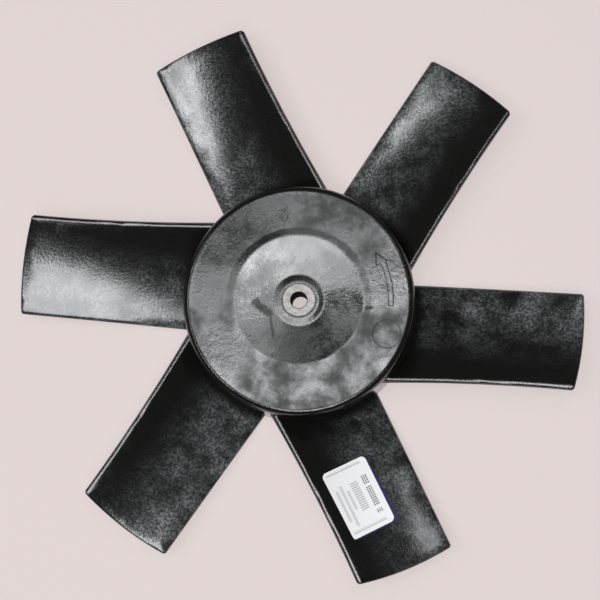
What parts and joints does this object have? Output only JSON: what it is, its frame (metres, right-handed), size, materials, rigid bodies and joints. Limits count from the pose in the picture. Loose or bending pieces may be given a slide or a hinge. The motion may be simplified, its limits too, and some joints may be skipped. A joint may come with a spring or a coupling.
{
  "type": "radiator fan blade",
  "caption": "Axial cooling fan wheel: twisted, cambered blades on a drafted cup hub with a dished front, inner ribs and a metal bush that takes a motor shaft.",
  "frame": {"origin": "on the fan axis, in the plane of the hub's back rim, on which the fan rests", "axes": "+Z along the fan axis towards the dished front face; +X is a plain radius that lies 5.3 degrees from one blade's long axis"},
  "size_m": [0.28, 0.274, 0.0365],
  "materials": {
    "black_plastic": "satin black moulded plastic, faintly mottled",
    "bush_metal": "turned metal with fine concentric tool lines",
    "label_paper": "white coated paper"
  },
  "bodies": {
    "root": {"fan_moulding": "black_plastic", "shaft_insert": "bush_metal", "paper_label": "label_paper"}
  },
  "joints": []
}
